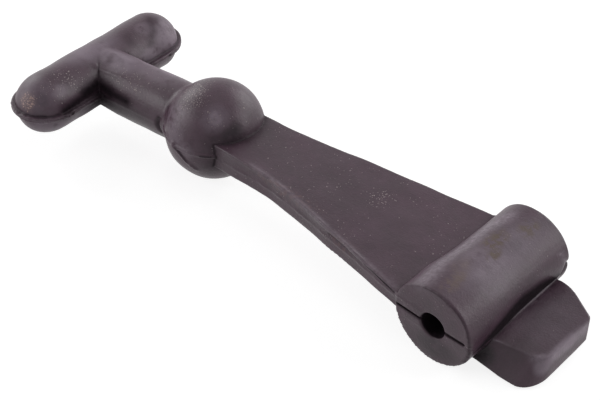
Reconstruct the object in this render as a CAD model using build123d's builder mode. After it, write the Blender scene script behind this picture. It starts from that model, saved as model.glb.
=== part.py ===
"""Rubber T-handle draw latch, moulded in one piece.

A flat strap runs from a pivot barrel to a ball, and a round neck joins the ball to a
T handle. A stop tab stands off the barrel on the side away from the strap. In use a
pin passes through the barrel, the strap is stretched over a forked keeper, and the
ball seats behind the fork with the neck standing between its prongs.

Frame: origin at the middle of the pivot bore, on the mould's parting plane.
+X runs along the strap towards the handle, +Y along the bore, +Z up.
Lengths are in millimetres.
"""
import os

from build123d import *

os.makedirs("parts", exist_ok=True)

# Pivot barrel
bore_diameter = 6.35
barrel_diameter = 19.5
barrel_length = 35.6
score_width = 0.5
score_depth = 0.6

# Strap
strap_narrow_width = 17.5
strap_knee_reach = 57.0
strap_knee_radius = 95.0
strap_root_thickness = 4.8
strap_ball_thickness = 6.3

# Stop tab
tab_reach = 22.4
tab_top_drop = 2.4
tab_thickness = 5.9
tab_left_width = 12.9
tab_left_corner_radius = 4.8
tab_left_top_root_width = 12.2
tab_left_top_end_width = 7.5
tab_left_top_corner_radius = 2.0
tab_right_width = 13.6
tab_right_end_width = 8.6
tab_right_taper_length = 9.2
tab_right_shoulder_radius = 5.0
tab_right_corner_radius = 1.2

# Ball
ball_reach = 82.0
ball_diameter = 24.3
ball_flash_proud = 0.35
ball_flash_thickness = 0.9

# Neck
neck_ball_diameter = 14.9
neck_handle_diameter = 14.6
neck_fillet = 1.0

# T handle
handle_reach = 121.4
handle_diameter = 15.0
handle_length = 52.0
rim_proud = 1.05
rim_thickness = 1.2
rim_edge_round = 0.3

# Each form below starts on the axis of the one before it, so that the forms overlap
# and fuse into one moulding.
barrel_radius = barrel_diameter / 2
ball_radius = ball_diameter / 2
tab_bottom_drop = tab_top_drop + tab_thickness

with BuildPart() as barrel:
    with BuildSketch(Plane.XZ):
        Circle(barrel_radius)
    extrude(amount=barrel_length / 2, both=True)

# The strap leaves the barrel at the barrel's full length, narrows in a straight flare
# and turns through a gentle knee into a parallel stretch that enters the ball.
with BuildPart() as strap:
    with BuildSketch(Plane.XY):
        with BuildLine():
            Polyline(
                (0, barrel_length / 2),
                (barrel_radius, barrel_length / 2),
                (strap_knee_reach, strap_narrow_width / 2),
                (ball_reach, strap_narrow_width / 2),
                (ball_reach, -strap_narrow_width / 2),
                (strap_knee_reach, -strap_narrow_width / 2),
                (barrel_radius, -barrel_length / 2),
                (0, -barrel_length / 2),
                close=True,
            )
        outline = make_face()
        knees = outline.vertices().filter_by_position(Axis.X, strap_knee_reach, strap_knee_reach)
        fillet(knees, radius=strap_knee_radius)
    extrude(amount=max(strap_root_thickness, strap_ball_thickness), both=True)
    with BuildSketch(Plane.XZ):
        with BuildLine():
            Polyline(
                (0, strap_root_thickness / 2),
                (ball_reach, strap_ball_thickness / 2),
                (ball_reach, -strap_ball_thickness / 2),
                (0, -strap_root_thickness / 2),
                close=True,
            )
        make_face()
    extrude(amount=barrel_length, both=True, mode=Mode.INTERSECT)

# The stop tab lies low on the barrel. Its left side (+Y) leans in towards the top, more
# at the end than at the barrel, and goes round the corner as a cone. Its right side
# tapers in towards the end.
with BuildPart() as tab:
    tab_levels = [
        (tab_bottom_drop, tab_left_width, tab_left_width, tab_left_corner_radius),
        (tab_top_drop, tab_left_top_root_width, tab_left_top_end_width, tab_left_top_corner_radius),
    ]
    for drop, left_root, left_end, left_corner_radius in tab_levels:
        with BuildSketch(Plane.XY.offset(-drop)) as level:
            with BuildLine():
                Polyline(
                    (0, left_root),
                    (-tab_reach, left_end),
                    (-tab_reach, -tab_right_end_width),
                    (-tab_reach + tab_right_taper_length, -tab_right_width),
                    (0, -tab_right_width),
                    close=True,
                )
            make_face()
            end_corners = level.vertices().filter_by_position(Axis.X, -tab_reach, -tab_reach)
            left_corner = end_corners.sort_by(Axis.Y)[-1]
            right_corner = end_corners.sort_by(Axis.Y)[0]
            right_shoulder = level.vertices().sort_by(Axis.X)[2]
            fillet(left_corner, radius=left_corner_radius)
            fillet(right_corner, radius=tab_right_corner_radius)
            fillet(right_shoulder, radius=tab_right_shoulder_radius)
    loft(ruled=True)

# Ball and neck are one round form about the X axis, with a fillet where they meet.
with BuildPart() as ball_and_neck:
    with BuildSketch(Plane.XZ) as profile:
        with BuildLine():
            half_circle = CenterArc((ball_reach, 0), ball_radius, start_angle=0, arc_size=180)
            Line(half_circle @ 1, half_circle @ 0)
        make_face()
        with BuildLine():
            Polyline(
                (ball_reach, 0),
                (ball_reach, neck_ball_diameter / 2),
                (handle_reach, neck_handle_diameter / 2),
                (handle_reach, 0),
                close=True,
            )
        make_face()
        meeting_point = profile.vertices().sort_by(Axis.X)[1]
        fillet(meeting_point, radius=neck_fillet)
    revolve(axis=Axis.X)

# The two halves of the mould meet on the ball's equator and leave a low band there.
with BuildPart() as ball_flash:
    with BuildSketch(Plane.XY):
        with Locations((ball_reach, 0)):
            Circle(ball_radius + ball_flash_proud)
    extrude(amount=ball_flash_thickness / 2, both=True)

# The handle is a bar with domed ends. A flat rim stands out all round it on the
# parting plane.
handle_plane = Plane(origin=(handle_reach, 0, 0))

with BuildPart() as handle:
    with BuildSketch(handle_plane):
        SlotOverall(handle_length, handle_diameter, rotation=90)
        Rectangle(handle_diameter, handle_length, align=(Align.MAX, Align.CENTER), mode=Mode.SUBTRACT)
    revolve(axis=Axis(handle_plane.origin, handle_plane.y_dir))

with BuildPart() as rim:
    with BuildSketch(handle_plane):
        SlotOverall(handle_length + 2 * rim_proud, handle_diameter + 2 * rim_proud, rotation=90)
    extrude(amount=rim_thickness / 2, both=True)
    fillet(rim.faces().filter_by(Axis.Z).edges(), radius=rim_edge_round)

with BuildPart() as latch_body:
    add(ball_and_neck.part)
    add(ball_flash.part)
    add(handle.part)
    add(rim.part)
    add(strap.part)
    add(barrel.part)
    add(tab.part)
    # Pivot bore, from end to end of the barrel.
    with BuildSketch(Plane.XZ):
        Circle(bore_diameter / 2)
    extrude(amount=barrel_length / 2, both=True, mode=Mode.SUBTRACT)
    # The parting plane shows on both end faces as a fine score through the bore.
    for side in (1, -1):
        with BuildSketch(Plane.XZ.offset(side * barrel_length / 2)):
            Rectangle(barrel_diameter, score_width)
        extrude(amount=-side * score_depth, mode=Mode.SUBTRACT)

latch_body.part.label = "latch_body"
export_step(latch_body.part, "parts/latch_body.step")
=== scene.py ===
"""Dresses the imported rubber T-handle draw latch: its moulded skin, finish, stage and camera."""
import logging
import math
from dataclasses import dataclass, field
from enum import Enum
from typing import Any, ClassVar, Optional, Sequence, Union

import bmesh
import bpy
import numpy as np
from mathutils import Matrix, Vector


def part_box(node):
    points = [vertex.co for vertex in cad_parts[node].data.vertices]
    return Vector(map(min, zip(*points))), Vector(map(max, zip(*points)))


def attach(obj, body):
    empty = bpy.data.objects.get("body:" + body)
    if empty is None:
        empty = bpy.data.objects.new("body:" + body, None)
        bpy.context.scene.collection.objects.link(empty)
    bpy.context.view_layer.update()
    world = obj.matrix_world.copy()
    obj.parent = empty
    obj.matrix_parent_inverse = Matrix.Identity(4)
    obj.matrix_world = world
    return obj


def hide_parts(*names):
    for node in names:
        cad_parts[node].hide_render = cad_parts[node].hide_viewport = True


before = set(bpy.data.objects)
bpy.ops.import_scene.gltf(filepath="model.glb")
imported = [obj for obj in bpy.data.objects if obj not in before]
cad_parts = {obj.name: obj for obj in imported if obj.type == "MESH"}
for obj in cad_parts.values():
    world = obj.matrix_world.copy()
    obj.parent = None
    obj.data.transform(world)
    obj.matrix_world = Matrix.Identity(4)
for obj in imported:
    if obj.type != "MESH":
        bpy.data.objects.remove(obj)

LOG = logging.getLogger("latch")
MM = 0.001
Triple = tuple[float, float, float]
Number = Union[int, float]
Term = Union["Value", Number]
Array = np.ndarray
Spread = tuple[tuple[float, float], ...]
WHITE = (1.0, 1.0, 1.0, 1.0)


# --- shader tools


class Value:
    """A shader socket that takes part in Python arithmetic."""

    def __init__(self, tree: "ShaderTree", socket: bpy.types.NodeSocket) -> None:
        """Wraps an output socket of a tree."""
        self.tree = tree
        self.socket = socket

    def _math(self, operation: str, *terms: Term) -> "Value":
        """Adds a Math node that takes the terms in order."""
        return self.tree.node("ShaderNodeMath", {"operation": operation}, dict(enumerate(terms)))

    def __add__(self, other: Term) -> "Value":
        """Returns self + other."""
        return self._math("ADD", self, other)

    def __radd__(self, other: Number) -> "Value":
        """Returns other + self."""
        return self._math("ADD", other, self)

    def __sub__(self, other: Term) -> "Value":
        """Returns self - other."""
        return self._math("SUBTRACT", self, other)

    def __rsub__(self, other: Number) -> "Value":
        """Returns other - self."""
        return self._math("SUBTRACT", other, self)

    def __mul__(self, other: Term) -> "Value":
        """Returns self * other."""
        return self._math("MULTIPLY", self, other)

    def __rmul__(self, other: Number) -> "Value":
        """Returns other * self."""
        return self._math("MULTIPLY", other, self)

    def clamped(self) -> "Value":
        """Returns self kept from 0 to 1."""
        settings = {"operation": "ADD", "use_clamp": True}
        return self.tree.node("ShaderNodeMath", settings, {0: self, 1: 0.0})

    def ramp(self, low: float, high: float) -> "Value":
        """Eases from 0 at one value to 1 at another.

        Args:
            low: Where the result is 0.
            high: Where the result is 1. It may be the smaller of the two.

        Returns:
            A smooth step between the two.
        """
        rising = low < high
        ends = {1: low, 2: high, 3: 0.0, 4: 1.0} if rising else {1: high, 2: low, 3: 1.0, 4: 0.0}
        settings = {"interpolation_type": "SMOOTHSTEP"}
        return self.tree.node("ShaderNodeMapRange", settings, {0: self, **ends})


class ShaderTree:
    """Builds a node tree from Python expressions."""

    def __init__(self, tree: bpy.types.NodeTree) -> None:
        """Clears a tree to build in it."""
        self.tree = tree
        tree.nodes.clear()

    def node(
        self,
        kind: str,
        settings: Optional[dict[str, Any]] = None,
        inputs: Optional[dict[Union[int, str], Any]] = None,
        output: Union[int, str] = 0,
    ) -> Value:
        """Adds a node.

        Args:
            kind: The node's type.
            settings: Attributes of the node, set before its inputs.
            inputs: A value or a link for each named or numbered socket.
            output: The output socket to return.

        Returns:
            The chosen output.
        """
        made = self.tree.nodes.new(kind)
        for name, value in (settings or {}).items():
            setattr(made, name, value)
        for key, value in (inputs or {}).items():
            if isinstance(value, Value):
                self.tree.links.new(value.socket, made.inputs[key])
            else:
                made.inputs[key].default_value = value
        return Value(self, made.outputs[output])

    def finish(self, kind: str, surface: Value) -> None:
        """Adds the output node, which shows the surface."""
        made = self.tree.nodes.new(kind)
        self.tree.links.new(surface.socket, made.inputs["Surface"])

    def vector(self, operation: str, first: Value, second: Triple) -> Value:
        """Adds a Vector Math node of two vectors."""
        settings = {"operation": operation}
        return self.node("ShaderNodeVectorMath", settings, {0: first, 1: second})

    def attribute(self, name: str) -> Value:
        """Returns a number that the mesh keeps at each point."""
        return self.node("ShaderNodeAttribute", {"attribute_name": name}, output="Fac")

    def mix(self, first: Any, second: Any, factor: Any) -> Value:
        """Mixes two colours.

        Args:
            first: The colour at factor 0.
            second: The colour at factor 1.
            factor: How much of the second there is.

        Returns:
            The mixed colour.
        """
        colours = {6: self._solid(first), 7: self._solid(second)}
        settings = {"data_type": "RGBA", "clamp_factor": True}
        return self.node("ShaderNodeMix", settings, {0: factor, **colours}, output=2)

    @staticmethod
    def _solid(colour: Any) -> Any:
        """Gives a plain colour an alpha of 1 and returns anything else as it is."""
        return colour if isinstance(colour, Value) else (*colour, 1.0)

    def millimetres(self) -> Value:
        """Returns the surface point in the object's own frame, in millimetres."""
        inputs = {0: self.node("ShaderNodeTexCoord", output="Object"), "Scale": 1.0 / MM}
        return self.node("ShaderNodeVectorMath", {"operation": "SCALE"}, inputs)

    def noise(
        self, place: Value, grain: float, detail: float = 3.0, roughness: float = 0.5
    ) -> Value:
        """Returns noise from 0 to 1, whose blotches are one grain across, in millimetres."""
        inputs = {"Vector": place, "Scale": 1.0 / grain, "Detail": detail, "Roughness": roughness}
        return self.node("ShaderNodeTexNoise", None, inputs)


# --- finishes


class Tone(Enum):
    """The colours that a patch of the rubber may take, painted highlights and painted shade among
    them.
    """

    # A pale bloom, laid mostly as painted highlight.
    SHEEN_AND_BLOOM = (0.150, 0.111, 0.141)
    # A pale rubbed colour, also laid as painted highlight.
    WORN_AND_SHEEN = (0.262, 0.208, 0.252)
    OLIVE = (0.098, 0.066, 0.044)
    OCHRE = (0.150, 0.105, 0.075)
    PINK_BROWN = (0.300, 0.205, 0.180)
    REDDISH = (0.120, 0.062, 0.064)
    PALE = (0.330, 0.270, 0.270)
    PINK = (0.480, 0.330, 0.300)
    # Near-black, used mostly as painted shade.
    DARK = (0.006, 0.004, 0.006)


@dataclass(frozen=True)
class Patch:
    """A patch of another tone, soft at its edge and broken up by noise.

    Lengths are in millimetres. The cover is the share of the patch that takes the tone.
    """

    dulling: ClassVar[float] = 0.12
    core: ClassVar[float] = 0.35
    spread: ClassVar[float] = 0.45

    tone: Tone
    centre: Triple
    reach: Triple
    strength: float = 1.0
    grain: float = 1.5
    cover: float = 0.5
    softness: float = 0.2

    def away(self, tree: ShaderTree, place: Value) -> Value:
        """Returns 0 in the patch's middle and 1 at its edge."""
        scaled = tree.vector("DIVIDE", tree.vector("SUBTRACT", place, self.centre), self.reach)
        return tree.node("ShaderNodeVectorMath", {"operation": "LENGTH"}, {0: scaled}, "Value")

    def mask(self, tree: ShaderTree, place: Value) -> Value:
        """Tells how much of the tone each point has.

        Args:
            tree: The material's tree.
            place: The surface point, in millimetres.

        Returns:
            The mask, from 0 to the patch's strength.
        """
        away = self.away(tree, place)
        level = 0.5 + (0.5 - self.cover) * self.spread
        broken = tree.noise(place, self.grain).ramp(level - self.softness, level + self.softness)
        return away.ramp(1.0, self.core) * broken * self.strength


@dataclass(frozen=True)
class Dust(Patch):
    """A patch of fine specks. Its cover is how thick they lie, and they drift in clouds."""

    dulling: ClassVar[float] = 0.2
    cloud_size: ClassVar[float] = 5.0
    barest: ClassVar[float] = 0.80
    thickening: ClassVar[float] = 0.16
    clouding: ClassVar[float] = 0.25
    thinning: ClassVar[float] = 0.2
    edge: ClassVar[float] = 0.05

    def mask(self, tree: ShaderTree, place: Value) -> Value:
        """Scatters the specks.

        Args:
            tree: The material's tree.
            place: The surface point, in millimetres.

        Returns:
            The specks' mask, from 0 to the patch's strength.
        """
        away = self.away(tree, place)
        noise = tree.noise(place, self.grain, 1.0)
        drift = tree.noise(place, self.cloud_size, 2.0)
        level = self.barest - self.cover * self.thickening
        bar = level - (drift - 0.5) * self.clouding + away.ramp(0.4, 1.0) * self.thinning
        return (noise - bar).ramp(0.0, self.edge) * away.ramp(1.1, 0.8) * self.strength


@dataclass(frozen=True)
class MouldedRubber:
    """Dark satin rubber as it comes from the mould, with bloom, dust and handling marks, painted
    highlights and a dull near-black coat of painted shade.
    """

    name: str = "moulded_rubber"
    colour: Triple = (0.070, 0.035, 0.055)
    deep_colour: Triple = (0.048, 0.023, 0.037)
    painted_shade_colour: Triple = (0.008, 0.005, 0.007)
    roughness: float = 0.35
    cloud_roughness: float = 0.08
    grain_roughness: float = 0.10
    gloss: float = 0.42
    painted_shade_roughness: float = 0.9
    painted_shade_gloss: float = 0.1
    painted_shade_edge: float = 0.2
    painted_shade_break: float = 0.3
    wear_and_sheen_break: float = 3.0
    cloud_size: float = 9.0
    cloud_share: float = 0.55
    mottle_size: float = 2.4
    grain_size: float = 0.9
    grain_height: float = 0.7
    fine_size: float = 0.45
    fine_height: float = 0.5
    bump_strength: float = 0.6
    bump_height: float = 0.12
    patches: tuple[Patch, ...] = (
        # Pale bloom patches, laid as painted highlights on the handle's top, ends and underside,
        # the neck, the barrel's top, the ball's top and side, and the tab's top.
        Patch(Tone.SHEEN_AND_BLOOM, (121.4, 4.0, 7.3), (6.0, 12.0, 4.0), 1.0, 5.0, 0.8),
        Patch(Tone.SHEEN_AND_BLOOM, (112.0, 1.0, 7.0), (9.0, 6.0, 3.5), 0.9, 4.0, 0.85),
        Patch(Tone.SHEEN_AND_BLOOM, (119.0, 24.0, 3.5), (7.0, 5.5, 6.0), 0.8, 3.0, 0.8),
        Patch(Tone.SHEEN_AND_BLOOM, (118.0, -18.5, 6.0), (5.0, 5.0, 5.0), 0.8, 3.0, 0.7),
        Patch(Tone.SHEEN_AND_BLOOM, (-3.0, 0.0, 9.3), (6.5, 22.0, 5.0), 1.0, 6.0, 0.85),
        Patch(Tone.SHEEN_AND_BLOOM, (76.0, 6.0, 9.2), (4.5, 5.0, 4.5), 0.9, 2.0, 0.8),
        Patch(Tone.SHEEN_AND_BLOOM, (84.0, 10.5, 3.0), (4.0, 4.0, 4.0), 0.8, 2.0, 0.8),
        Patch(Tone.SHEEN_AND_BLOOM, (121.0, 8.0, -4.0), (12.0, 24.0, 3.5), 0.9, 4.0, 0.85),
        Patch(Tone.SHEEN_AND_BLOOM, (-16.0, -2.0, -2.3), (9.0, 14.0, 2.5), 0.35, 4.0, 0.8),
        Patch(Tone.SHEEN_AND_BLOOM, (116.5, -18.0, 3.5), (5.0, 9.0, 5.0), 0.9, 3.0, 0.75, 0.15),
        # Rubbed patches, most of them painted highlights on the handle, the neck's crown, the ball,
        # the barrel's top and the tab's end face.
        Patch(Tone.WORN_AND_SHEEN, (121.4, 4.5, 7.4), (4.5, 8.0, 3.0), 0.55, 4.0, 0.85),
        Patch(Tone.WORN_AND_SHEEN, (113.5, 2.6, 6.9), (7.5, 4.4, 2.5), 0.62, 4.0, 0.85),
        Patch(Tone.WORN_AND_SHEEN, (104.0, -3.2, 6.4), (13.0, 3.0, 2.8), 0.75, 3.0, 0.8, 0.15),
        Patch(Tone.WORN_AND_SHEEN, (118.0, 14.0, -4.2), (8.0, 18.0, 3.4), 0.6, 3.0, 0.8, 0.15),
        Patch(Tone.WORN_AND_SHEEN, (117.0, -19.0, 4.2), (5.0, 6.5, 4.5), 0.7, 1.8, 0.62, 0.1),
        Patch(Tone.WORN_AND_SHEEN, (86.0, 8.6, 6.4), (5.0, 5.0, 5.0), 0.4, 1.2, 0.6, 0.12),
        Patch(Tone.WORN_AND_SHEEN, (75.9, 5.9, 9.3), (2.2, 2.4, 2.4), 1.0, 2.2, 0.75),
        Patch(Tone.WORN_AND_SHEEN, (-22.3, 0.0, -3.8), (1.5, 11.5, 2.8), 0.95, 5.0, 0.85),
        Patch(Tone.WORN_AND_SHEEN, (-21.7, 7.6, -5.3), (2.4, 3.4, 3.2), 0.85, 3.0, 0.95, 0.15),
        Patch(Tone.WORN_AND_SHEEN, (115.5, 19.9, 4.9), (2.2, 3.4, 2.4), 0.40, 2.0, 0.8, 0.15),
        Patch(Tone.WORN_AND_SHEEN, (114.8, -10.5, 2.3), (2.5, 5.0, 2.5), 0.60, 2.0, 0.75, 0.15),
        Patch(Tone.WORN_AND_SHEEN, (119.5, -12.5, 6.9), (3.0, 3.6, 2.5), 0.40, 2.0, 0.75, 0.15),
        Patch(Tone.WORN_AND_SHEEN, (115.0, 24.0, -2.8), (4.0, 9.0, 3.2), 0.60, 2.5, 0.85, 0.15),
        Patch(Tone.WORN_AND_SHEEN, (101.5, 0.3, 7.4), (9.5, 4.0, 2.5), 0.35, 2.5, 0.75, 0.12),
        Patch(Tone.WORN_AND_SHEEN, (80.0, 11.6, 0.5), (3.0, 2.0, 3.0), 0.35, 1.5, 0.75, 0.12),
        Patch(Tone.WORN_AND_SHEEN, (1.0, 4.5, 9.7), (2.6, 6.0, 2.4), 0.35, 2.6, 0.6, 0.15),
        Patch(Tone.WORN_AND_SHEEN, (-3.4, 3.0, 9.0), (2.4, 9.0, 2.4), 0.35, 2.5, 0.6, 0.10),
        # Another pale bloom patch of painted highlight, on the barrel's top.
        Patch(Tone.SHEEN_AND_BLOOM, (-6.5, 6.0, 7.0), (3.0, 9.0, 3.0), 0.50, 2.5, 0.6, 0.10),
        Patch(Tone.OLIVE, (0.6, -2.8, 10.0), (3.2, 5.6, 2.5), 0.8, 1.6, 0.52, 0.10),
        Patch(Tone.OLIVE, (-1.9, 0.8, 9.5), (1.6, 3.2, 2.0), 0.8, 1.4, 0.58, 0.10),
        Patch(Tone.OLIVE, (-2.4, -11.0, 10.3), (3.2, 4.0, 2.5), 0.7, 1.6, 0.52, 0.10),
        Patch(Tone.OCHRE, (-0.9, 13.2, 8.8), (2.6, 5.5, 2.5), 0.5, 1.8, 0.58, 0.12),
        Patch(Tone.OCHRE, (0.8, 8.4, 9.3), (3.0, 4.0, 2.5), 0.3, 2.5, 0.6, 0.15),
        Patch(Tone.PINK_BROWN, (119.5, 26.7, 3.0), (3.4, 2.4, 3.4), 0.35, 0.8, 0.62, 0.10),
        Patch(Tone.REDDISH, (52.0, 9.6, 3.2), (17.0, 2.6, 2.2), 0.55, 1.2, 0.4, 0.10),
        Patch(Tone.REDDISH, (30.0, 13.4, 1.2), (9.0, 2.2, 2.6), 0.5, 1.2, 0.4, 0.10),
        # Near-black patches. All but the last two are painted shade: on the ball above the strap,
        # low on the neck, low on the barrel's near end, on the tab's side under the barrel, on the
        # ball at and below the strap's corner, and over the strap's top. The last two darken the
        # handle's end and the barrel's top.
        Patch(Tone.DARK, (73.6, -4.3, 8.9), (5.5, 6.0, 5.5), 0.30, 3.0, 0.9),
        Patch(Tone.DARK, (103.0, 8.2, -1.8), (10.0, 2.5, 3.6), 0.36, 3.0, 0.9),
        Patch(Tone.DARK, (-1.0, 17.6, -7.0), (8.0, 2.0, 4.5), 0.62, 3.0, 0.95),
        Patch(Tone.DARK, (-9.0, 11.6, -7.2), (4.5, 3.0, 4.0), 0.80, 2.0, 0.85),
        Patch(Tone.DARK, (71.9, 4.2, 5.6), (3.0, 4.5, 3.4), 0.55, 1.5, 0.85),
        Patch(Tone.DARK, (74.6, 8.4, -3.8), (5.0, 4.0, 4.0), 0.28, 2.0, 0.85),
        Patch(Tone.DARK, (38.0, 1.0, 3.0), (26.0, 12.0, 2.0), 0.14, 3.0, 0.95),
        Patch(Tone.DARK, (116.5, 24.6, 4.0), (2.6, 2.4, 2.6), 0.30, 1.5, 0.8, 0.15),
        Patch(Tone.DARK, (-3.2, -4.5, 9.6), (2.2, 5.0, 2.2), 0.16, 2.5, 0.7, 0.15),
    )
    dust: tuple[Dust, ...] = (
        Dust(Tone.PALE, (50.0, 0.0, 4.0), (120.0, 60.0, 30.0), 0.8, 0.50, 0.45),
        Dust(Tone.PALE, (32.2, -3.5, 3.7), (6.5, 6.0, 2.5), 1.0, 0.40, 0.95),
        Dust(Tone.PALE, (84.4, 4.4, 10.8), (6.5, 10.0, 6.0), 1.0, 0.34, 1.2),
        Dust(Tone.PALE, (76.6, 6.2, 9.4), (4.6, 3.4, 4.4), 1.0, 0.36, 1.0),
        Dust(Tone.PINK, (119.5, 26.6, 3.0), (3.6, 2.6, 3.6), 0.9, 0.38, 1.6),
        Dust(Tone.PALE, (117.0, 17.0, 5.0), (7.0, 12.0, 5.0), 1.0, 0.40, 0.95),
        Dust(Tone.PALE, (107.0, 5.5, 5.0), (10.0, 6.0, 4.5), 1.0, 0.40, 0.95),
    )

    def material(self) -> bpy.types.Material:
        """Makes the finish as a material.

        Returns:
            The material.
        """
        made = bpy.data.materials.new(self.name)
        made.use_nodes = True
        tree = ShaderTree(made.node_tree)
        place = tree.millimetres()
        grain = tree.noise(place, self.grain_size, 4.0, 0.6)
        colour, roughness = self._surface(tree, place, grain)
        fine = tree.noise(place, self.fine_size, 3.0, 0.6)
        height = grain * self.grain_height + fine * self.fine_height
        reach = {"Strength": self.bump_strength, "Distance": self.bump_height * MM}
        bump = tree.node("ShaderNodeBump", None, {**reach, "Height": height})
        clean = {"Base Color": colour, "Roughness": roughness, "Specular IOR Level": self.gloss}
        rubber = tree.node("ShaderNodeBsdfPrincipled", None, {**clean, "Normal": bump})
        # A dull near-black coat of painted shade, laid over the rubber in corners, creases, the
        # bore, the scores and along the dark streaks.
        dark = {"Base Color": (*self.painted_shade_colour, 1.0), "Roughness": self.painted_shade_roughness}
        dark["Specular IOR Level"] = self.painted_shade_gloss
        shade_coat = tree.node("ShaderNodeBsdfPrincipled", None, dark)
        painted_shade = tree.attribute("painted_shade")
        broken = (grain - 0.5) * self.painted_shade_break * painted_shade.ramp(0.0, self.painted_shade_edge)
        shaded = (painted_shade + broken).clamped()
        covered = tree.node("ShaderNodeMixShader", None, {0: shaded, 1: rubber, 2: shade_coat})
        tree.finish("ShaderNodeOutputMaterial", covered)
        return made

    def _surface(self, tree: ShaderTree, place: Value, grain: Value) -> tuple[Value, Value]:
        """Works out the colour and the roughness, with patches, dust and rubbed marks, many of them
        painted highlights and painted shade.

        Args:
            tree: The material's tree.
            place: The surface point, in millimetres.
            grain: The fine grain, from 0 to 1.

        Returns:
            The colour and the roughness.
        """
        cloud = tree.noise(place, self.cloud_size, 4.0, 0.6).ramp(0.35, 0.65)
        mottle = tree.noise(place, self.mottle_size, 3.0, 0.6).ramp(0.32, 0.68)
        light = cloud * self.cloud_share + mottle * (1.0 - self.cloud_share)
        colour = tree.mix(self.deep_colour, self.colour, light)
        roughness = self.roughness + cloud * self.cloud_roughness
        roughness = roughness + (grain - 0.5) * self.grain_roughness
        for patch in (*self.patches, *self.dust):
            mask = patch.mask(tree, place)
            colour = tree.mix(colour, patch.tone.value, mask)
            roughness = roughness + mask * patch.dulling
        # Pale marks: scuffs and trimmed flash, and painted highlights along lit edges.
        rubbed_and_sheen = (tree.attribute("wear_and_sheen") * (1.0 + (grain - 0.5) * self.wear_and_sheen_break)).clamped()
        return tree.mix(colour, Tone.WORN_AND_SHEEN.value, rubbed_and_sheen), roughness


# --- moulded forms
#
# Each form gives the distance of points from its surface, negative inside. The points
# are rows of x, y and z in millimetres, in the straight moulding's frame.


def rounded_meet(first: Array, second: Array, radius: float) -> Array:
    """Returns distances from what two forms share, with a round along the outer edge."""
    reach = np.hypot(np.maximum(first + radius, 0.0), np.maximum(second + radius, 0.0))
    return np.minimum(-radius, np.maximum(first, second)) + reach


def filleted_join(first: Array, second: Array, radius: float) -> Array:
    """Returns distances from two forms joined, with a fillet in the inner corner."""
    reach = np.hypot(np.maximum(radius - first, 0.0), np.maximum(radius - second, 0.0))
    return np.maximum(radius, np.minimum(first, second)) - reach


def near_path(p: Array, path: Sequence[Triple], width: float) -> Array:
    """Tells how near points are to a path.

    Args:
        p: The points to measure.
        path: The path's corners.
        width: The path's half width.

    Returns:
        1 on the path, falling to 0 beside it.
    """
    best = np.full(len(p), np.inf)
    for start, end in zip(path[:-1], path[1:]):
        first, run = np.array(start), np.array(end) - np.array(start)
        share = np.clip(((p - first) @ run) / (run @ run), 0.0, 1.0)
        best = np.minimum(best, np.linalg.norm(p - first - share[:, None] * run, axis=1))
    return np.exp(-((best / width) ** 2))


def meeting(first: Array, second: Array, width: float) -> Array:
    """Returns 1 on the line where two forms meet, falling to 0 over a width."""
    return np.exp(-((np.hypot(first, second) / width) ** 2))


@dataclass
class Barrel:
    """The pivot barrel, its left half a little swollen, with its bore and end scores."""

    radius: float = 9.75
    length: float = 35.6
    bore_radius: float = 3.175
    left_swell: float = 0.32
    crown: float = 0.4
    crown_place: float = 8.5
    crown_width: float = 6.0
    edge: float = 0.3
    score_width: float = 0.7
    score_depth: float = 0.6
    score_reach: float = 8.5
    score_edge: float = 0.08
    score_shade: float = 0.8
    rim_darkness: float = 0.45
    rim_width: float = 0.28

    def body(self, p: Array) -> Array:
        """Measures the distance of points from the barrel before it is bored.

        Args:
            p: The points.

        Returns:
            Their distances, negative inside the barrel.
        """
        radius = self.radius + self.left_swell * np.clip(2.0 * p[:, 1] / self.length, 0.0, 1.0)
        radius += self.crown * np.exp(-(((p[:, 1] - self.crown_place) / self.crown_width) ** 2))
        ends = abs(p[:, 1]) - self.length / 2
        return rounded_meet(np.hypot(p[:, 0], p[:, 2]) - radius, ends, self.edge)

    def painted_shade(self, p: Array) -> Array:
        """Works out the painted shade in the bore and the scores, and the dark line at the end
        faces' rims.

        Args:
            p: The points.

        Returns:
            The darkness, from 0 to 1.
        """
        x, y, z = p.T
        out, inside = np.hypot(x, z), self.length / 2 - abs(y)
        bore = np.clip(1.0 - (out - self.bore_radius) / 0.15, 0.0, 1.0)
        bore *= np.clip(inside / 0.5, 0.0, 1.0)
        score = np.clip(1.0 - (abs(z) - self.score_width / 2) / self.score_edge, 0.0, 1.0)
        score *= np.clip((inside + 0.3) / 0.3, 0.0, 1.0) * (inside < 0.8) * (x > -self.score_reach)
        rim = meeting(self.radius - out, inside, self.rim_width) * (x < 3.0) * (z > -5.0)
        return np.max([bore, self.score_shade * score, self.rim_darkness * rim], axis=0)

    def cuts(self, p: Array, form: Array) -> Array:
        """Bores and scores a form.

        Args:
            p: The points.
            form: Their distances from the form.

        Returns:
            Their distances from the cut form.
        """
        bore = np.hypot(p[:, 0], p[:, 2]) - self.bore_radius
        score = np.maximum(
            np.maximum(abs(p[:, 2]) - self.score_width / 2, -p[:, 0] - self.score_reach),
            self.length / 2 - self.score_depth - abs(p[:, 1]),
        )
        return rounded_meet(rounded_meet(form, -bore, self.edge), -score, self.score_edge)


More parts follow.
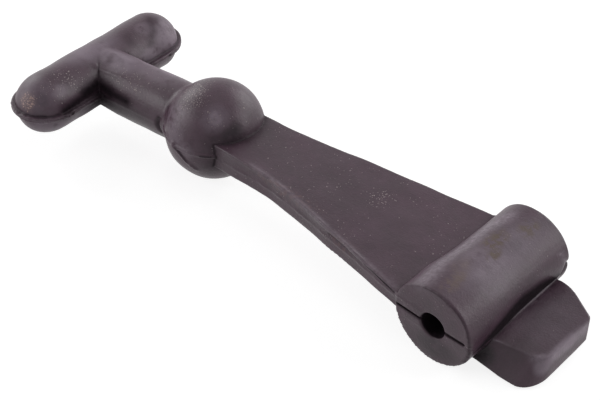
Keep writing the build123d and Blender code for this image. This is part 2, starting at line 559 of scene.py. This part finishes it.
@dataclass
class Strap:
    """The flat strap, wide at the barrel and narrow at the ball.

    Its left edge overhangs as a lip of flash along the top, which grows towards the barrel.
    """

    root_half_width: float = 17.8
    root_reach: float = 9.75
    narrow_half_width: float = 8.75
    knee_reach: float = 57.0
    knee_radius: float = 95.0
    ball_reach: float = 82.0
    root_thickness: float = 4.8
    ball_thickness: float = 6.3
    lip_overhang: float = 0.95
    lip_thickness: float = 0.6
    lip_start: float = 7.75
    right_inset: float = 1.3
    inset_reach: float = 37.0
    edge: float = 0.22

    def distance(self, p: Array) -> Array:
        """Measures the distance of points from the strap.

        Args:
            p: The points.

        Returns:
            Their distances, negative inside the strap.
        """
        flare = self.root_half_width - self.narrow_half_width
        slope = flare / (self.knee_reach - self.root_reach)
        angle = math.atan(slope)
        end = self.knee_reach + self.knee_radius * math.tan(angle / 2)
        start = end - self.knee_radius * math.sin(angle)
        x = np.clip(p[:, 0], self.root_reach, self.ball_reach)
        back = np.clip(end - x, 0.0, end - start)
        width = self.narrow_half_width + self.knee_radius - np.sqrt(self.knee_radius**2 - back**2)
        width += np.maximum(start - x, 0.0) * slope
        near_root = np.clip((self.inset_reach - x) / (self.inset_reach - self.root_reach), 0.0, 1.0)
        width -= self.right_inset * near_root * (p[:, 1] < 0.0)
        lean = np.where(p[:, 0] < self.root_reach, 1.0, np.cos(np.arcsin(back / self.knee_radius)))
        side = (abs(p[:, 1]) - width) * lean
        share = np.clip(p[:, 0] / self.ball_reach, 0.0, 1.0)
        top = (self.root_thickness * (1.0 - share) + self.ball_thickness * share) / 2
        slab = rounded_meet(side, abs(p[:, 2]) - top, self.edge)
        under_lip = np.maximum(p[:, 2] - top + self.lip_thickness, self.lip_start - p[:, 0])
        under_lip = np.maximum(under_lip, -p[:, 1])
        hollow = np.maximum(-side - self.lip_overhang * near_root, under_lip)
        form = np.maximum(slab, -hollow)
        return np.maximum(form, np.maximum(-p[:, 0], p[:, 0] - self.ball_reach))


@dataclass
class StopTab:
    """The low tab behind the barrel: one side bevelled, the other tapering."""

    reach: float = 22.4
    top: float = -2.4
    bottom: float = -8.3
    left: float = 12.9
    left_corner: float = 4.8
    left_top_root: float = 12.2
    left_top_end: float = 7.5
    left_top_corner: float = 2.0
    right: float = 13.9
    right_end: float = 8.6
    undercut: float = 0.7
    taper: float = 9.2
    shoulder: float = 2.0
    corner: float = 0.6
    edge: float = 0.3

    def distance(self, p: Array) -> Array:
        """Measures the distance of points from the tab.

        Args:
            p: The points.

        Returns:
            Their distances, negative inside the tab.
        """
        x, y, z = p.T
        rise = np.clip((z - self.bottom) / (self.top - self.bottom), 0.0, 1.0)
        share = np.clip(-x / self.reach, 0.0, 1.0)
        lean = self.left - self.left_top_root - (self.left_top_end - self.left_top_root) * share
        side = (y - self.left + lean * rise) / np.hypot(1.0, lean / (self.top - self.bottom))
        corner = self.left_corner + (self.left_top_corner - self.left_corner) * rise
        plan = rounded_meet(side, -self.reach - x, corner)
        drift = self.right - self.right_end
        taper = -(x + self.reach) * drift - (y + self.right_end) * self.taper
        taper = taper / math.hypot(self.taper, drift) + (1.0 - rise) * self.undercut
        plan = rounded_meet(plan, taper, self.corner)
        plan = np.maximum(rounded_meet(plan, -self.right - y, self.shoulder), x)
        slab = np.maximum(z - self.top, self.bottom - z)
        return rounded_meet(plan, slab, self.edge)


@dataclass
class BallAndNeck:
    """The ball, its low band of flash and the round neck."""

    reach: float = 82.0
    radius: float = 12.15
    flash_proud: float = 0.35
    flash_thickness: float = 0.9
    neck_at_ball: float = 7.45
    neck_at_handle: float = 7.3
    handle_reach: float = 121.4
    fillet: float = 1.0
    flash_edge: float = 0.2
    flash_fillet: float = 0.12

    def distance(self, p: Array) -> Array:
        """Measures the distance of points from the ball and neck.

        Args:
            p: The points.

        Returns:
            Their distances, negative inside either.
        """
        x, y, z = p.T
        across = np.hypot(x - self.reach, y)
        ball = np.hypot(across, z) - self.radius
        outer = across - self.radius - self.flash_proud
        band = rounded_meet(outer, abs(z) - self.flash_thickness / 2, self.flash_edge)
        share = np.clip((x - self.reach) / (self.handle_reach - self.reach), 0.0, 1.0)
        taper = (self.neck_at_handle - self.neck_at_ball) * share
        neck = np.hypot(y, z) - self.neck_at_ball - taper
        neck = np.maximum(neck, np.maximum(self.reach - x, x - self.handle_reach))
        return filleted_join(filleted_join(neck, ball, self.fillet), band, self.flash_fillet)


@dataclass
class Handle:
    """The T handle: a bar with domed ends and a rim all round the parting plane."""

    reach: float = 121.4
    radius: float = 7.5
    length: float = 52.0
    rim_proud: float = 1.05
    rim_thickness: float = 1.2
    rim_edge: float = 0.3
    rim_fillet: float = 0.1
    ledge_width: float = 0.35

    def _across(self, p: Array) -> Array:
        """Returns how far points lie from the bar's spine, seen from above."""
        beyond = np.maximum(abs(p[:, 1]) - self.length / 2 + self.radius, 0.0)
        return np.hypot(p[:, 0] - self.reach, beyond)

    def ledge(self, p: Array) -> Array:
        """Returns 1 in the corner above the rim, falling to 0 beside it."""
        above = p[:, 2] - self.rim_thickness / 2 - self.rim_fillet
        return meeting(self._across(p) - self.radius, above, self.ledge_width)

    def distance(self, p: Array) -> Array:
        """Measures the distance of points from the handle.

        Args:
            p: The points.

        Returns:
            Their distances, negative inside the handle.
        """
        across = self._across(p)
        bar = np.hypot(across, p[:, 2]) - self.radius
        outer = across - self.radius - self.rim_proud
        rim = rounded_meet(outer, abs(p[:, 2]) - self.rim_thickness / 2, self.rim_edge)
        return filleted_join(bar, rim, self.rim_fillet)


@dataclass(frozen=True)
class Station:
    """Where one cross-section of the used latch lies, against the straight moulding.

    Lengths are in millimetres and angles in degrees.
    """

    reach: float
    shift_y: float = 0.0
    shift_z: float = 0.0
    twist: float = 0.0
    yaw: float = 0.0
    swell: float = 1.0


@dataclass
class Lie:
    """The small set that the rubber has taken: a slight twist, bow and skew.

    A spread gives how much wider the strap is at each reach.
    """

    stations: tuple[Station, ...] = (
        Station(reach=-22.4, shift_y=0.55, shift_z=0.15, twist=-8.0, yaw=-0.47, swell=1.08),
        Station(reach=-14.0, shift_y=0.48, shift_z=0.15, twist=-8.0, yaw=-0.47, swell=1.08),
        Station(reach=-8.0, shift_y=0.07, twist=-4.33, yaw=-0.47),
        Station(reach=0.0, twist=-4.33, yaw=-0.47),
        Station(reach=12.0, shift_y=-0.21, shift_z=0.47, twist=-4.1),
        Station(reach=26.0, shift_y=-0.4, shift_z=0.85, twist=-3.1),
        Station(reach=41.0, shift_y=-0.5, shift_z=1.05, twist=-2.0),
        Station(reach=56.0, shift_y=-0.51, shift_z=1.03, twist=-1.0),
        Station(reach=70.0, shift_y=-0.44, shift_z=0.82, twist=-0.3, swell=1.035),
        Station(reach=82.0, shift_y=-0.32, shift_z=0.5, swell=1.035),
        Station(reach=93.0, shift_y=0.05, shift_z=0.0, swell=1.03),
        Station(reach=110.0, shift_y=1.2, shift_z=-0.5, twist=-1.0, yaw=2.5, swell=1.03),
        Station(reach=114.0, shift_y=1.36, shift_z=-0.34, twist=-1.1, yaw=2.69),
        Station(reach=121.4, shift_y=1.72, shift_z=-0.34, twist=-1.1, yaw=2.69),
    )
    barrel_radius: float = 9.75
    barrel_half_length: float = 17.8
    flare: float = 0.5
    flare_end: float = 34.0
    flare_fade: float = 22.0
    left_spread: Spread = ((40.0, 1.0), (50.0, 1.013), (67.0, 1.029), (76.0, 1.0))
    right_spread: Spread = (
        (36.0, 1.0),
        (44.0, 1.041),
        (52.0, 1.08),
        (56.0, 1.079),
        (60.0, 1.057),
        (68.0, 1.0),
    )

    def bend(self, points: Array) -> Array:
        """Carries points from the straight moulding to the latch as it lies.

        Args:
            points: Points of the straight moulding, one row each.

        Returns:
            The moved points.
        """
        reaches = [station.reach for station in self.stations]
        anchor = np.clip(points[:, 0], reaches[0], reaches[-1])
        shift_y, shift_z, twist, yaw, swell = (
            np.interp(anchor, reaches, [getattr(station, name) for station in self.stations])
            for name in ("shift_y", "shift_z", "twist", "yaw", "swell")
        )
        twist, yaw = np.radians(twist), np.radians(yaw)
        along, across, height = points[:, 0] - anchor, points[:, 1], points[:, 2] * swell
        # The barrel's left end leans a little towards the strap.
        root = np.clip(0.5 + points[:, 0] / (2.0 * self.barrel_radius), 0.0, 1.0)
        root *= np.clip((self.flare_end - points[:, 0]) / self.flare_fade, 0.0, 1.0)
        along = along + self.flare * root * np.clip(across / self.barrel_half_length, 0.0, 1.0)
        # The strap's sides run a little fuller than the straight moulding's near the ball.
        spreads = (self.left_spread, self.right_spread)
        left, right = (np.interp(points[:, 0], *zip(*spread)) for spread in spreads)
        across = across * np.where(across > 0.0, left, right)
        across, height = (
            across * np.cos(twist) - height * np.sin(twist),
            across * np.sin(twist) + height * np.cos(twist),
        )
        return np.stack(
            [
                anchor + along * np.cos(yaw) - across * np.sin(yaw),
                shift_y + along * np.sin(yaw) + across * np.cos(yaw),
                shift_z + height,
            ],
            axis=1,
        )


@dataclass(frozen=True)
class Streak:
    """A soft mark along a path on the latch as it lies, in millimetres.

    Its strength is how dark or how pale it is, or how high it stands in the relief.
    """

    path: tuple[Triple, ...]
    width: float
    strength: float = 1.0

    def mask(self, p: Array) -> Array:
        """Returns the strength on the path, falling to 0 beside it."""
        return self.strength * near_path(p, self.path, self.width)


GROOVE = ((34.0, 12.9, 1.9), (26.5, 14.2, 1.5), (18.7, 16.0, 1.7), (11.3, 17.5, 1.4))


@dataclass
class Relief:
    """What the mould, the trimming knife and use have left on the surface.

    It is laid on the latch as it lies. Lengths are in millimetres.
    """

    seed: int = 7
    waves: int = 22
    wave_height: float = 0.05
    handle_wave_height: float = 0.04
    strap_bow: float = 1.05
    strap_twist: float = 0.075
    ball_reach: float = 82.0
    seam_width: float = 0.35
    seam_height: float = 0.14
    edge_height: float = 0.10
    tail_height: float = 0.34
    tail_raggedness: float = 0.12
    raggedness: float = 0.07
    nick_reach: float = 93.35
    nick_bow: float = 0.75
    nick_width: float = 0.5
    nick_depth: float = 1.0
    rim_centre: Triple = (121.4, 1.7, -0.34)
    marks: tuple[Streak, ...] = (
        # The neck's crown beside the handle is trimmed flat, which leaves a low ridge.
        Streak(((117.5, 1.9, 7.3), (110.0, 1.2, 7.3)), 1.2, 0.22),
        # The parting line down both sides of the neck.
        Streak(((112.8, 8.6, -0.5), (95.1, 7.4, -0.1)), 0.35, 0.12),
        Streak(((112.8, -6.0, -0.5), (95.1, -7.2, -0.1)), 0.35, 0.12),
        # A groove below the strap's left edge, and a chip out of the barrel's far end.
        Streak(GROOVE, 0.35, -0.22),
        Streak(((-9.6, -16.9, 1.6), (-9.7, -16.2, -0.4)), 0.8, -0.5),
    )
    # A second ridge on the neck, which fades towards the ball.
    ridge: Streak = Streak(((117.0, 6.7, 5.3), (111.0, 5.9, 5.5), (104.5, 5.2, 5.6)), 0.8, 0.30)
    # Ragged flash along the strap's top edge, and on the ball beside the strap's corner.
    edge: Streak = Streak(
        ((72.0, 8.3, 3.7), (55.0, 8.6, 3.7), (40.0, 11.6, 3.4), (15.0, 16.4, 2.1)), 0.55
    )
    tail: Streak = Streak(
        (
            (87.5, 10.6, 1.2),
            (84.3, 11.8, 0.9),
            (82.6, 12.0, -0.9),
            (80.4, 11.4, -2.6),
            (78.0, 10.0, -4.6),
        ),
        0.5,
    )

    def _waves(self, p: Array, shortest: float, longest: float) -> Array:
        """Sums smooth waves in random directions.

        Args:
            p: The points, in millimetres.
            shortest: The shortest wavelength.
            longest: The longest wavelength.

        Returns:
            A height for each point, of about 1 at most.
        """
        draw = np.random.default_rng(self.seed + int(shortest * 100))
        heading = draw.normal(size=(self.waves, 3))
        heading /= np.linalg.norm(heading, axis=1)[:, None]
        length = draw.uniform(shortest, longest, self.waves)
        phase = draw.uniform(0.0, 2.0 * math.pi, self.waves)
        heights = np.sin(p @ (heading / length[:, None] * 2.0 * math.pi).T + phase)
        return heights.sum(axis=1) / math.sqrt(self.waves)

    def _nick(self, p: Array) -> Array:
        """Works out the crescent cut where the neck meets the ball.

        Args:
            p: The points.

        Returns:
            How deep it is at each point.
        """
        x, y, up = p[:, 0], p[:, 1], p[:, 2] + 0.5
        bow = self.nick_reach + self.nick_bow * (1.0 - np.clip(up / 2.4, -1.0, 1.0) ** 2)
        nick = np.exp(-(((x - bow) / self.nick_width) ** 2)) * (y > 4.0)
        return self.nick_depth * nick * np.clip(1.0 - abs(up) / 2.6, 0.0, 1.0) ** 0.5

    def _flash(self, p: Array) -> Array:
        """Works out the ragged flash on the strap's top edge and its sides' parting line.

        Args:
            p: The points.

        Returns:
            Its heights.
        """
        x, y, z = p.T
        flank = (x > 11.0) & (x < 71.0) & (abs(y) > 7.6)
        ragged = self.raggedness * self._waves(p, 2.0, 6.0)
        middle = self.strap_bow * np.sin(np.clip(x / self.ball_reach, 0.0, 1.0) * math.pi)
        middle -= self.strap_twist * y * np.clip(1.0 - x / 60.0, 0.0, 1.0)
        seam = np.exp(-(((z - middle) / self.seam_width) ** 2)) * (self.seam_height + ragged)
        return (self.edge.mask(p) * (self.edge_height + ragged) + seam) * flank

    def height(self, p: Array) -> Array:
        """Works out how far points stand out from the plain form.

        Args:
            p: The points.

        Returns:
            Their heights.
        """
        towards_handle = np.clip((p[:, 0] - 68.0) / 40.0, 0.0, 1.0)
        rise = self.wave_height * self._waves(p, 6.0, 18.0)
        rise += self.handle_wave_height * self._waves(p, 4.5, 9.0) * towards_handle
        rough = self._waves(p, 0.9, 2.6)
        rise += self.ridge.mask(p) * np.clip((p[:, 0] - 104.0) / 8.0, 0.0, 1.0)
        rise += sum(mark.mask(p) for mark in self.marks) + self._flash(p) - self._nick(p)
        rise += (self.tail_height + self.tail_raggedness * rough) * self.tail.mask(p)
        # The handle's rim is rough.
        x, y, z = abs(p - self.rim_centre).T
        rim = (p[:, 0] > 111.0) & (z < 0.75) & (np.hypot(x, np.maximum(y - 18.5, 0.0)) > 7.8)
        return rise + self.raggedness * rough * rim


@dataclass
class Handling:
    """The dark streaks, most of them painted shade, and the pale streaks: scuffs and trimmed flash,
    and painted highlights along lit edges.
    """

    dark: tuple[Streak, ...] = (
        # Painted shade low on the handle's near side, beside the neck.
        Streak(
            ((113.1, 20.5, 0.4), (113.5, 14.0, 1.2), (113.7, 8.6, 1.6), (104.5, 7.9, 1.3)),
            1.4,
            0.92,
        ),
        Streak(((113.7, 13.0, 1.7), (113.8, 9.0, 2.4), (110.0, 8.2, 1.4)), 2.2, 1.0),
        # Dark stripes on the handle's far half.
        Streak(((121.3, -16.1, 7.5), (117.9, -14.2, 6.2), (116.1, -11.4, 4.3)), 1.2, 0.36),
        Streak(((119.5, -6.6, 7.0), (117.7, -6.3, 6.2)), 1.2, 0.32),
        # Painted shade on the ball beside the strap, in their joint and in the nick at the neck.
        Streak(((74.4, 8.3, 4.9), (72.5, 4.7, 5.8), (72.4, 2.6, 7.0)), 1.5, 0.38),
        Streak(((76.3, 10.7, 0.4), (74.1, 9.3, 0.7)), 0.35, 0.75),
        Streak(((94.0, 7.0, 1.3), (94.4, 7.0, -0.8), (93.5, 6.6, -2.7)), 0.5, 0.95),
        # Dark marks on the ball by the neck and beside the strap.
        Streak(((89.4, 8.7, 4.2), (91.8, 6.0, 5.2)), 0.7, 0.40),
        Streak(((83.0, 11.9, 0.2), (81.0, 11.7, -1.6), (79.9, 11.4, -3.1)), 0.35, 0.70),
        Streak(((78.7, 11.7, 0.5), (78.8, 10.9, 4.1)), 0.8, 0.16),
        # Painted shadow on the tab's side under the barrel, and painted shade in the chip and in
        # the strap's groove.
        Streak(((-7.8, 12.2, -8.2), (-9.4, 12.3, -7.4), (-9.6, 12.6, -4.2)), 1.5, 0.75),
        Streak(((-9.5, -16.4, 1.5), (-9.7, -15.6, -1.2)), 0.55, 0.90),
        Streak(GROOVE, 0.3, 0.80),
    )
    pale: tuple[Streak, ...] = (
        # Painted highlight along the barrel's upper limb.
        Streak(((4.4, 16.0, 7.9), (5.2, 8.2, 7.9), (5.2, -5.4, 8.9), (3.8, -11.8, 9.9)), 2.3, 0.58),
        Streak(((-8.9, -14.6, 5.4), (-9.3, -15.4, 3.4), (-9.5, -16.1, 2.0)), 0.5, 0.80),
        Streak(((-9.6, 14.9, -2.9), (-9.6, 1.5, -2.1), (-9.6, -13.2, -1.3)), 0.3, 0.55),
        # Painted highlights along the tab's top edge and along its end.
        Streak(
            ((-10.2, 10.1, -3.4), (-11.7, 9.5, -3.2), (-16.3, 8.7, -3.1), (-19.7, 8.4, -3.6)),
            0.32,
            0.85,
        ),
        Streak(
            ((-19.7, 8.4, -3.8), (-22.0, 6.0, -3.6), (-22.3, 2.2, -3.4), (-22.4, -6.2, -2.8)),
            1.0,
            0.55,
        ),
        Streak(((-14.3, -12.9, -1.4), (-17.1, -11.2, -1.6), (-20.5, -8.9, -1.8)), 0.3, 0.60),
        Streak(
            ((62.0, 7.9, 3.9), (52.6, 8.7, 3.8), (39.0, 11.4, 3.4), (33.0, 12.8, 3.0)),
            0.7,
            0.30,
        ),
        Streak(((33.0, 12.6, 3.0), (24.4, 14.2, 2.6), (12.0, 16.6, 1.8)), 0.7, 0.28),
    )

    @staticmethod
    def strongest(streaks: tuple[Streak, ...], p: Array) -> Array:
        """Returns the strength of the strongest mark at each point."""
        return np.max([streak.mask(p) for streak in streaks], axis=0)


@dataclass
class Moulding:
    """The latch's one moulding: its forms fused, with softened edges and a slight lie."""

    barrel: Barrel = field(default_factory=Barrel)
    strap: Strap = field(default_factory=Strap)
    tab: StopTab = field(default_factory=StopTab)
    ball: BallAndNeck = field(default_factory=BallAndNeck)
    handle: Handle = field(default_factory=Handle)
    lie: Lie = field(default_factory=Lie)
    relief: Relief = field(default_factory=Relief)
    handling: Handling = field(default_factory=Handling)
    node: str = "latch_body"
    voxel: float = 0.27
    most_faces: int = 190000
    settling_rounds: int = 4
    settling_step: float = 0.02
    longest_move: float = 0.3
    strap_fillet: float = 0.06
    fillet: float = 0.12
    barrel_fillet: float = 0.2

    def distance(self, p: Array) -> Array:
        """Measures the distance of points from the whole moulding.

        Args:
            p: The points.

        Returns:
            Their distances, negative inside it.
        """
        form = filleted_join(self.ball.distance(p), self.handle.distance(p), self.fillet)
        form = filleted_join(form, self.strap.distance(p), self.strap_fillet)
        form = filleted_join(form, self.barrel.body(p), self.barrel_fillet)
        form = filleted_join(form, self.tab.distance(p), self.fillet)
        return self.barrel.cuts(p, form)

    def painted_shade(self, p: Array) -> Array:
        """Works out the painted shade at each point, in the corners and creases that light hardly
        reaches.

        Args:
            p: The points, in the straight moulding's frame.

        Returns:
            1 deep in a corner, falling to 0 on the open surface.
        """
        x, y, z = p.T
        ball, handle, strap = (form.distance(p) for form in (self.ball, self.handle, self.strap))
        barrel, tab = self.barrel.body(p), self.tab.distance(p)
        inside = self.barrel.length / 2 - abs(y)
        low = np.clip((3.2 - z) / 2.6, 0.0, 1.0)
        # The barrel gets painted shade above the tab, most in the middle.
        shade = np.clip((2.7 - 2.6 * ((y - 0.5) / 13.0) ** 2 - z) / 1.5, 0.0, 1.0)
        shade *= (z > self.tab.top + 0.2) & (x < -6.0) & (abs(barrel) < 0.2)
        shade *= np.clip((inside - 0.3) / 1.2, 0.0, 1.0)
        return np.max(
            [
                # Painted shade: where the neck meets the handle and low down beside it, where the
                # ball meets the strap, along the barrel's joints with the strap and the tab, in the
                # ledge above the handle's rim, and in the barrel's bore and scores, with the dark
                # line at its end rims.
                0.75 * meeting(ball, handle, 0.35) * np.clip((6.6 - z) / 1.5, 0.0, 1.0),
                0.90 * meeting(ball, handle, 4.6) * low,
                0.85 * meeting(ball, strap, 0.35),
                0.35 * meeting(ball, strap, 1.6),
                0.55 * meeting(barrel, strap, 0.4) * (inside > 0.6),
                0.96 * shade,
                0.95 * meeting(barrel, tab, 1.6) * (z > self.tab.top + 0.25),
                0.80 * meeting(barrel, tab, 0.3),
                0.70 * self.handle.ledge(p),
                self.barrel.painted_shade(p),
            ],
            axis=0,
        )

    def build(self, finish: MouldedRubber) -> bpy.types.Object:
        """Makes the skin and stands it in for the solid.

        Args:
            finish: What the skin is made of.

        Returns:
            The finished object.
        """
        skin = placed("latch_skin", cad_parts[self.node].data.copy())
        self._remesh(skin)
        self._settle(skin.data)
        self._thin(skin)
        skin.data.shade_smooth()
        skin.data.materials.clear()
        skin.data.materials.append(finish.material())
        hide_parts(self.node)
        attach(skin, "root")
        return skin

    @staticmethod
    def _apply(piece: bpy.types.Object) -> None:
        """Applies a piece's modifiers.

        Args:
            piece: The piece to change.
        """
        graph = bpy.context.evaluated_depsgraph_get()
        mesh = bpy.data.meshes.new_from_object(piece.evaluated_get(graph))
        piece.modifiers.clear()
        piece.data = mesh

    def _remesh(self, skin: bpy.types.Object) -> None:
        """Turns the solid's copy into an even mesh.

        Args:
            skin: The copy.
        """
        weld = skin.modifiers.new("weld", "WELD")
        weld.merge_threshold = 0.001 * MM
        remesh = skin.modifiers.new("remesh", "REMESH")
        remesh.mode = "VOXEL"
        remesh.voxel_size = self.voxel * MM
        smooth = skin.modifiers.new("smooth", "SMOOTH")
        smooth.factor = 0.5
        smooth.iterations = 2
        self._apply(skin)

    def _settle(self, mesh: bpy.types.Mesh) -> None:
        """Brings the mesh onto the moulding's exact surface, then lays it as the latch lies.

        Args:
            mesh: The mesh to change.
        """
        points = np.empty(len(mesh.vertices) * 3)
        mesh.vertices.foreach_get("co", points)
        points = points.reshape(-1, 3) / MM
        for _ in range(self.settling_rounds):
            here = self.distance(points)
            slope = np.empty_like(points)
            for axis, nudge in enumerate(np.eye(3) * self.settling_step):
                slope[:, axis] = (self.distance(points + nudge) - here) / self.settling_step
            steep = np.maximum((slope**2).sum(axis=1), 0.25)
            move = np.clip(here / steep, -self.longest_move, self.longest_move)
            points -= slope * move[:, None]
        # Painted shade in corners and creases, with the dark streaks; the pale streaks are scuffs
        # and flash, and painted highlights.
        painted_shade = self.painted_shade(points)
        points = self.lie.bend(points)
        painted_shade = np.maximum(painted_shade, self.handling.strongest(self.handling.dark, points))
        wear_and_sheen = self.handling.strongest(self.handling.pale, points)
        for name, values in (("painted_shade", painted_shade), ("wear_and_sheen", wear_and_sheen)):
            mesh.attributes.new(name, "FLOAT", "POINT").data.foreach_set("value", values)
        mesh.vertices.foreach_set("co", (points * MM).ravel())
        mesh.update()
        facing = np.empty(points.size)
        mesh.vertices.foreach_get("normal", facing)
        points += facing.reshape(-1, 3) * self.relief.height(points)[:, None]
        mesh.vertices.foreach_set("co", (points * MM).ravel())
        mesh.update()

    def _thin(self, skin: bpy.types.Object) -> None:
        """Drops faces where the surface is plain.

        Args:
            skin: The piece to thin.
        """
        faces = len(skin.data.polygons) * 2
        if faces > self.most_faces:
            decimate = skin.modifiers.new("decimate", "DECIMATE")
            decimate.ratio = self.most_faces / faces
            self._apply(skin)


# --- stage


def placed(name: str, data: Any) -> bpy.types.Object:
    """Makes an object of some data and links it to the scene.

    Args:
        name: The object's name.
        data: Its mesh, light or camera.

    Returns:
        The object.
    """
    made = bpy.data.objects.new(name, data)
    bpy.context.scene.collection.objects.link(made)
    return made


def direction(azimuth: float, elevation: float) -> Vector:
    """Returns the way from the latch to what looks at it. Azimuth 0 looks along +Y, 90 along -X."""
    turn, rise = math.radians(azimuth), math.radians(elevation)
    return Vector(
        (math.sin(turn) * math.cos(rise), -math.cos(turn) * math.cos(rise), math.sin(rise))
    )


@dataclass(frozen=True)
class Softbox:
    """One soft studio lamp, aimed at the middle of the latch."""

    name: str
    azimuth: float
    elevation: float
    power: float
    size: float = 0.5
    distance: float = 0.9

    def build(self, aim: Vector) -> bpy.types.Object:
        """Makes the lamp.

        Args:
            aim: The point that the lamp looks at.

        Returns:
            The lamp.
        """
        light = bpy.data.lights.new(self.name, "AREA")
        light.energy = self.power
        light.size = self.size
        lamp = placed(self.name, light)
        back = direction(self.azimuth, self.elevation)
        lamp.location = aim + back * self.distance
        lamp.rotation_mode = "QUATERNION"
        lamp.rotation_quaternion = (-back).to_track_quat("-Z", "Y")
        return lamp


@dataclass
class Stage:
    """The pale floor, the white surroundings and the lamps."""

    floor_size: float = 3.0
    paper: Triple = (0.9, 0.9, 0.9)
    surround: float = 0.12
    floor_share: float = 0.45
    floor_glow: float = 1.42
    floor_lift: float = 0.12
    lamps: tuple[Softbox, ...] = (
        Softbox("left_lamp", azimuth=130.0, elevation=19.0, power=2.9),
        Softbox("right_lamp", azimuth=310.0, elevation=27.0, power=2.5),
        Softbox("back_right_lamp", azimuth=355.0, elevation=24.0, power=3.0),
        Softbox("back_left_lamp", azimuth=85.0, elevation=25.0, power=1.9),
        Softbox("top_lamp", azimuth=0.0, elevation=85.0, power=0.5),
    )

    def build(self, skin: bpy.types.Object) -> None:
        """Makes the stage.

        Args:
            skin: The latch, which stands on the floor.
        """
        low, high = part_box("latch_body")
        self._floor(skin)
        self._surroundings()
        for lamp in self.lamps:
            lamp.build((low + high) / 2)

    @staticmethod
    def _seen_directly(tree: ShaderTree) -> Value:
        """Returns 1 for the eye, a reflection or a clear material, and 0 for light."""
        rays = ("Is Camera Ray", "Is Glossy Ray", "Is Transmission Ray")
        return sum(tree.node("ShaderNodeLightPath", output=ray) for ray in rays).clamped()

    @staticmethod
    def _rest_plane(skin: bpy.types.Object) -> tuple[Vector, Vector]:
        """Finds the plane that the latch comes to rest on.

        Args:
            skin: The latch.

        Returns:
            A point of the plane and its normal, which points up.
        """
        hull = bmesh.new()
        hull.from_mesh(skin.data)
        middle = sum((vertex.co for vertex in hull.verts), Vector()) / len(hull.verts)
        made = bmesh.ops.convex_hull(hull, input=hull.verts)["geom"]
        faces = [part for part in made if isinstance(part, bmesh.types.BMFace)]
        foot = next(face for face in faces if face.normal.z < -0.5 and Stage._holds(face, middle))
        normal, point = -foot.normal, foot.verts[0].co.copy()
        hull.free()
        return point, normal

    @staticmethod
    def _holds(face: bmesh.types.BMFace, point: Vector) -> bool:
        """Tells whether a face lies straight below a point.

        Args:
            face: The face.
            point: The point.

        Returns:
            True if a plumb line from the point meets the face.
        """
        corners = [vertex.co for vertex in face.verts]
        turns = [
            (after - before).to_2d().cross((point - before).to_2d())
            for before, after in zip(corners, corners[1:] + corners[:1])
        ]
        return all(turn >= 0.0 for turn in turns) or all(turn <= 0.0 for turn in turns)

    def _floor(self, skin: bpy.types.Object) -> None:
        """Lays the floor under the latch.

        Args:
            skin: The latch.
        """
        point, normal = self._rest_plane(skin)
        half = self.floor_size / 2
        mesh = bpy.data.meshes.new("floor")
        corners = [(-half, -half, 0.0), (half, -half, 0.0), (half, half, 0.0), (-half, half, 0.0)]
        mesh.from_pydata(corners, [], [(0, 1, 2, 3)])
        floor = placed("floor", mesh)
        floor.location = point
        floor.rotation_mode = "QUATERNION"
        floor.rotation_quaternion = normal.to_track_quat("Z", "Y")
        material = bpy.data.materials.new("pale_floor")
        material.use_nodes = True
        tree = ShaderTree(material.node_tree)
        seen = self._seen_directly(tree)
        paper = tree.node("ShaderNodeBsdfDiffuse", None, {"Color": (*self.paper, 1.0)})
        eye = tree.node("ShaderNodeLightPath", output="Is Camera Ray")
        lit = {"Color": WHITE, "Strength": self.floor_glow + eye * self.floor_lift}
        glow = tree.node("ShaderNodeEmission", None, lit)
        share = {0: seen * (1.0 - self.floor_share), 1: paper, 2: glow}
        surface = tree.node("ShaderNodeMixShader", None, share)
        tree.finish("ShaderNodeOutputMaterial", surface)
        mesh.materials.append(material)

    def _surroundings(self) -> None:
        """Surrounds the latch with white that lights it evenly."""
        world = bpy.data.worlds.new("white_surroundings")
        bpy.context.scene.world = world
        world.use_nodes = True
        tree = ShaderTree(world.node_tree)
        seen = self._seen_directly(tree)
        strength = self.surround + seen * (1.0 - self.surround)
        glow = tree.node("ShaderNodeBackground", None, {"Color": WHITE, "Strength": strength})
        tree.finish("ShaderNodeOutputWorld", glow)


@dataclass
class Eye:
    """The camera: a long lens that looks down from the tab's left corner."""

    azimuth: float = 220.34
    elevation: float = 37.32
    roll: float = 2.73
    distance: float = 0.38296
    lens: float = 99.84
    aim: Triple = (0.04851, 0.00611, 0.0)

    def build(self) -> bpy.types.Object:
        """Makes the camera and gives it to the scene.

        Returns:
            The camera.
        """
        camera = placed("camera", bpy.data.cameras.new("camera"))
        camera.data.lens = self.lens
        back = direction(self.azimuth, self.elevation)
        turn = math.radians(self.azimuth)
        level = Vector((math.cos(turn), math.sin(turn), 0.0))
        rise = back.cross(level)
        roll = math.radians(self.roll)
        right = level * math.cos(roll) + rise * math.sin(roll)
        above = rise * math.cos(roll) - level * math.sin(roll)
        place = Matrix((right, above, back)).transposed().to_4x4()
        place.translation = Vector(self.aim) + back * self.distance
        camera.matrix_world = place
        bpy.context.scene.camera = camera
        bpy.context.scene.view_settings.view_transform = "Standard"
        return camera


# --- main


def main() -> None:
    """Builds the dressed latch and its stage."""
    logging.basicConfig(level=logging.INFO, format="%(name)s: %(message)s")
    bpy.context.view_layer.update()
    Eye().build()
    skin = Moulding().build(MouldedRubber())
    LOG.info("%s: %d faces", skin.name, len(skin.data.polygons))
    Stage().build(skin)


if __name__ == "__main__":
    main()
